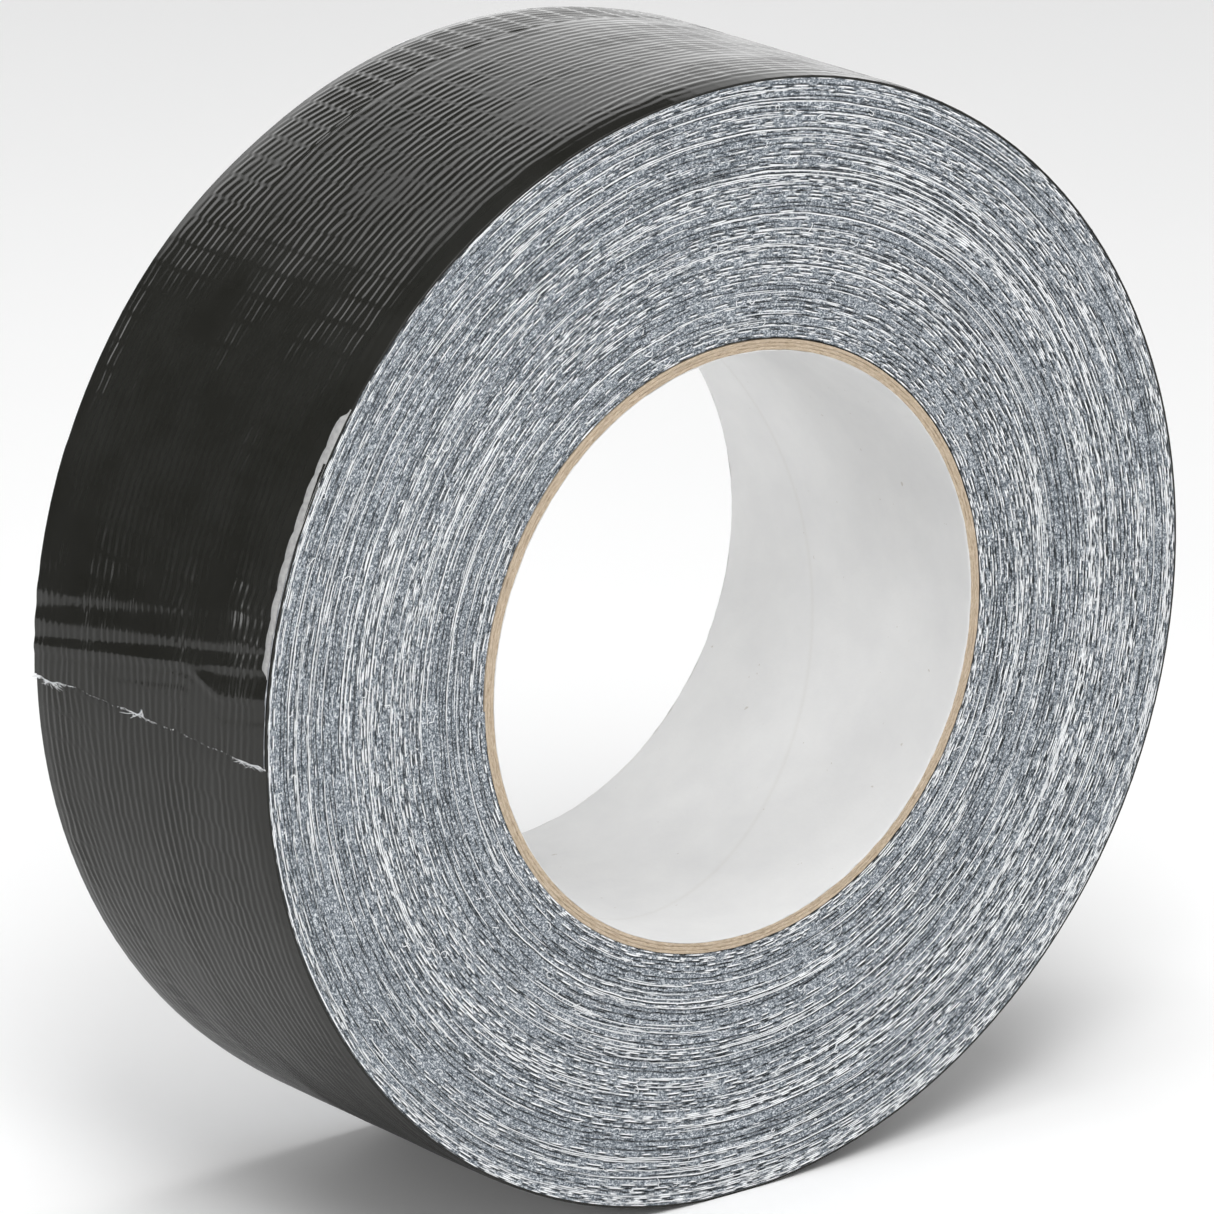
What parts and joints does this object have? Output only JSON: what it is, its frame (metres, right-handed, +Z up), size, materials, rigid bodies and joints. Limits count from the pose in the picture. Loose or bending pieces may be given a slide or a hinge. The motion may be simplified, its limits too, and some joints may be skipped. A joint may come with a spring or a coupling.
{
  "type": "duct tape roll",
  "caption": "Roll of cloth-backed duct tape wound on a paper tube core, with a torn free end that peels away from the roll.",
  "frame": {"origin": "centre of the roll, on its axis, halfway across the tape", "axes": "+Y along the roll's axis, -Y out of the face that the picture shows, +Z up with the roll standing on its rim"},
  "size_m": [0.1464, 0.0488, 0.1459],
  "materials": {
    "film": "gloss",
    "yarn": "matte",
    "adhesive": "satin",
    "tape_edge": "matte",
    "kraft_board": "matte",
    "liner_paper": "matte"
  },
  "bodies": {
    "roll": {"core_liner": "liner_paper", "core_ply_inner": "kraft_board", "core_ply_middle": "kraft_board", "core_ply_outer": "kraft_board", "tape_winding": "tape_edge", "outer_wrap_film": "film", "outer_wrap_warp_yarns": "yarn", "outer_wrap_weft_yarns": "yarn", "outer_wrap_adhesive": "adhesive"},
    "tab_1": {"end_tab_1_film": "film", "end_tab_1_warp_yarns": "yarn", "end_tab_1_weft_yarns": "yarn", "end_tab_1_adhesive": "adhesive"},
    "tab_2": {"end_tab_2_film": "film", "end_tab_2_warp_yarns": "yarn", "end_tab_2_weft_yarns": "yarn", "end_tab_2_adhesive": "adhesive"},
    "tab_3": {"end_tab_3_film": "film", "end_tab_3_warp_yarns": "yarn", "end_tab_3_weft_yarns": "yarn", "end_tab_3_adhesive": "adhesive"},
    "tab_4": {"end_tab_4_film": "film", "end_tab_4_warp_yarns": "yarn", "end_tab_4_weft_yarns": "yarn", "end_tab_4_adhesive": "adhesive"}
  },
  "joints": [
    {"name": "peel_1", "type": "hinge", "parent": "roll", "child": "tab_1", "pos_m": [-0.06787, 0, 0.02761], "axis": [0, 1, 0], "range_deg": [0, 40]},
    {"name": "peel_2", "type": "hinge", "parent": "tab_1", "child": "tab_2", "pos_m": [-0.07029, 0, 0.02072], "axis": [0, 1, 0], "range_deg": [0, 40]},
    {"name": "peel_3", "type": "hinge", "parent": "tab_2", "child": "tab_3", "pos_m": [-0.072, 0, 0.01363], "axis": [0, 1, 0], "range_deg": [0, 40]},
    {"name": "peel_4", "type": "hinge", "parent": "tab_3", "child": "tab_4", "pos_m": [-0.073, 0, 0.0064], "axis": [0, 1, 0], "range_deg": [0, 40]}
  ]
}
